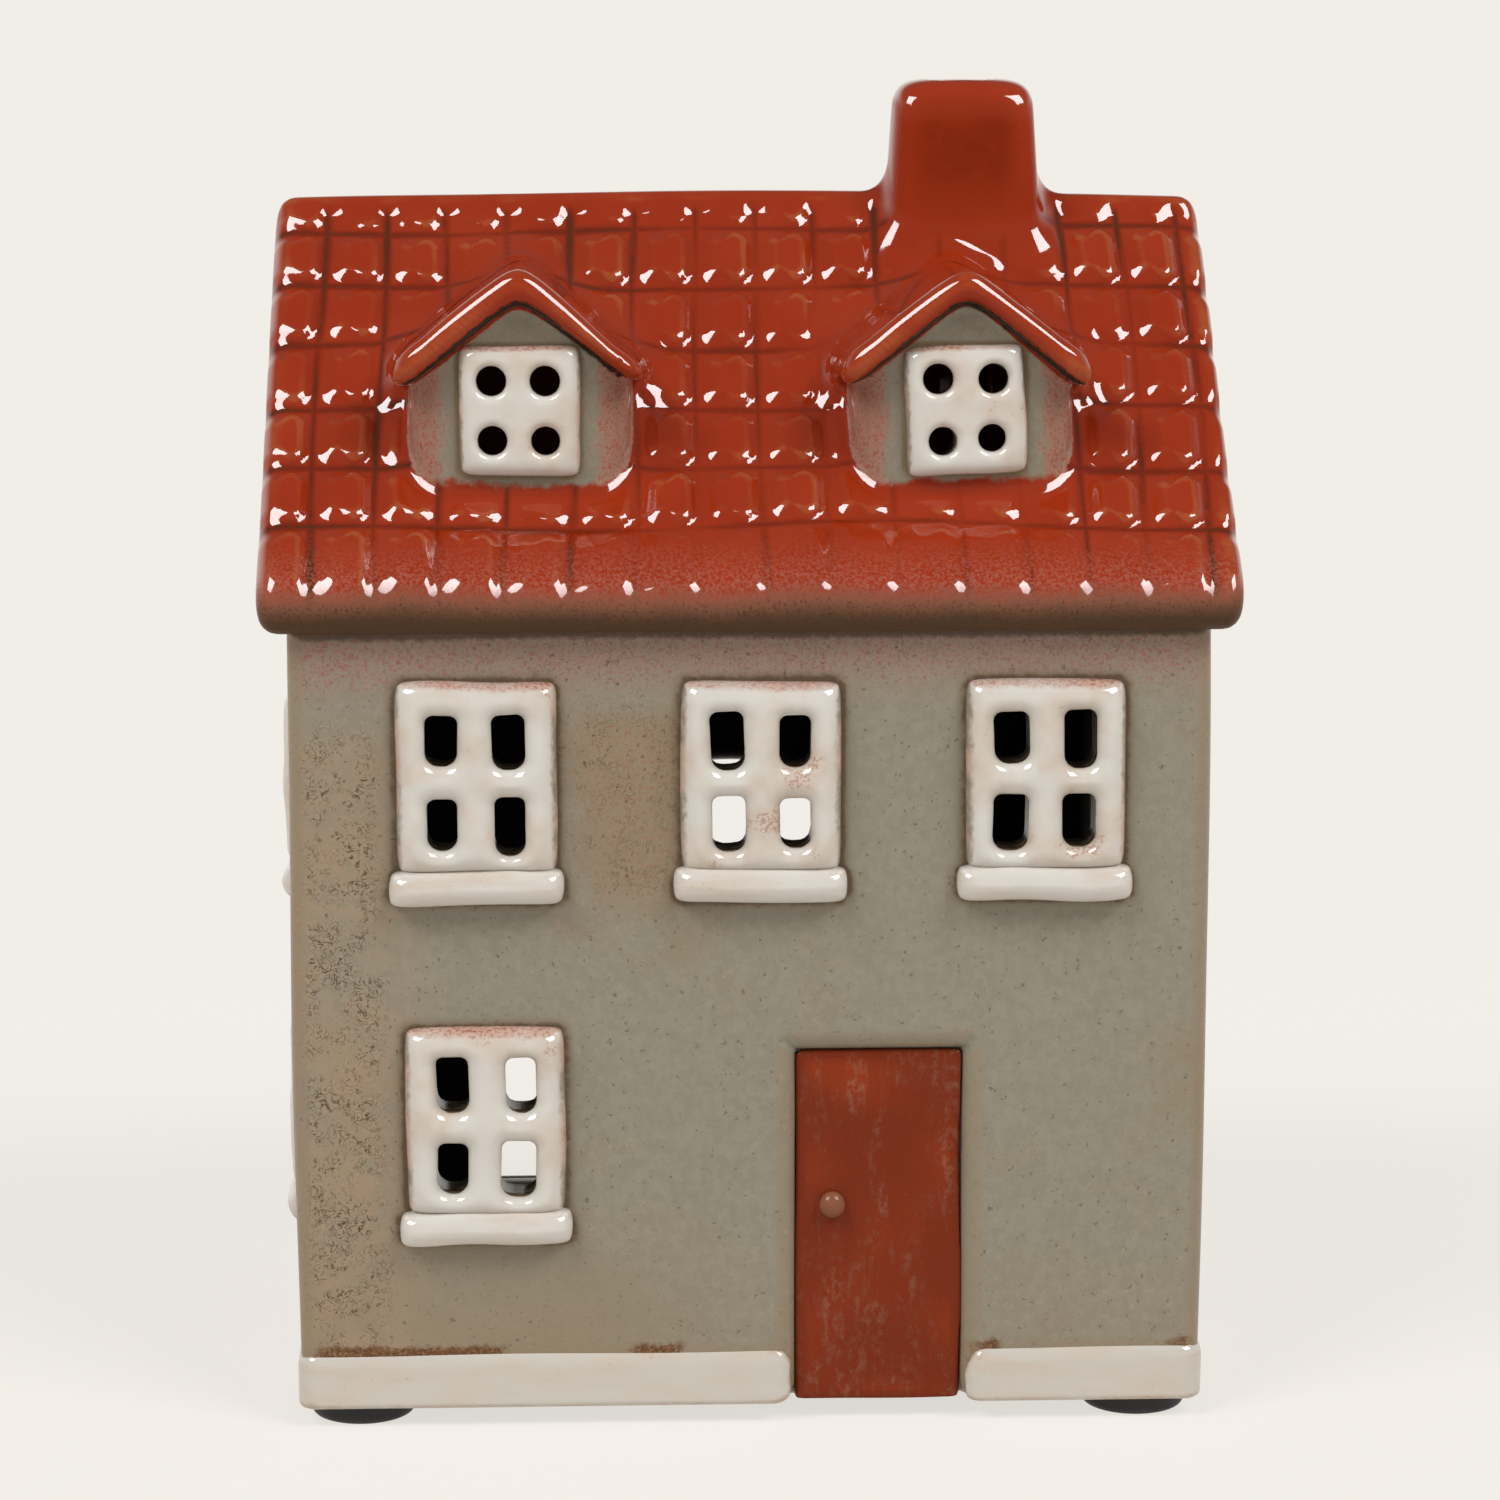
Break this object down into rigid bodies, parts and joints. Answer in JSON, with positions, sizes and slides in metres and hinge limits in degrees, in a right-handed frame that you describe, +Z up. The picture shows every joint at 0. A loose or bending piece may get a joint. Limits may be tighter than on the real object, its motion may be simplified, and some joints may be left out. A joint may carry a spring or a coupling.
{
  "type": "tealight house",
  "caption": "Glazed ceramic town house lantern with tiled roof, dormers, chimney and cut-out windows, open at the back for a tealight that shines through.",
  "frame": {"origin": "on the table, under the middle of the roof's outline", "axes": "+X to the viewer's right, +Y from the street front towards the open back, +Z up"},
  "size_m": [0.112, 0.088, 0.1553],
  "materials": {
    "wall_glaze": "grey-green satin glaze with brown iron flecks",
    "roof_glaze": "glossy orange-red glaze, thin and brown on raised edges",
    "white_glaze": "glossy warm white glaze, brown at the edges",
    "door_glaze": "red-brown glaze with a milky mottle",
    "bare_clay": "matt, thinly glazed clay",
    "foot_rubber": "matt black",
    "cup_metal": "bright drawn foil",
    "candle_wax": "waxy white",
    "wick_cotton": "waxed cotton",
    "wick_foot_steel": "tinned"
  },
  "bodies": {
    "house": {"back_wall": "wall_glaze", "chimney": "roof_glaze", "door_knob": "door_glaze", "door_panel": "door_glaze", "dormer_left_body": "wall_glaze", "dormer_left_roof": "roof_glaze", "dormer_left_window": "white_glaze", "dormer_right_body": "wall_glaze", "dormer_right_roof": "roof_glaze", "dormer_right_window": "white_glaze", "floor_slab": "bare_clay", "foot_back_left": "foot_rubber", "foot_back_right": "foot_rubber", "foot_front_left": "foot_rubber", "foot_front_right": "foot_rubber", "front_wall": "wall_glaze", "left_wall": "wall_glaze", "plinth_back": "white_glaze", "plinth_front_left": "white_glaze", "plinth_front_right": "white_glaze", "plinth_left": "white_glaze", "plinth_right": "white_glaze", "right_wall": "wall_glaze", "roof_back": "roof_glaze", "roof_front": "roof_glaze", "sill_front_lower_left": "white_glaze", "sill_front_upper_left": "white_glaze", "sill_front_upper_middle": "white_glaze", "sill_front_upper_right": "white_glaze", "sill_left_lower": "white_glaze", "sill_left_upper": "white_glaze", "sill_right_lower": "white_glaze", "sill_right_upper": "white_glaze", "window_front_lower_left": "white_glaze", "window_front_upper_left": "white_glaze", "window_front_upper_middle": "white_glaze", "window_front_upper_right": "white_glaze", "window_left_lower": "white_glaze", "window_left_upper": "white_glaze", "window_right_lower": "white_glaze", "window_right_upper": "white_glaze"},
    "tealight": {"tealight_cup": "cup_metal", "tealight_wax": "candle_wax", "tealight_wick": "wick_cotton", "tealight_wick_foot": "wick_foot_steel"}
  },
  "joints": [
    {"name": "tealight_slide", "type": "slide", "parent": "house", "child": "tealight", "axis": [0, 1, 0], "range_m": [0, 0.085]}
  ]
}
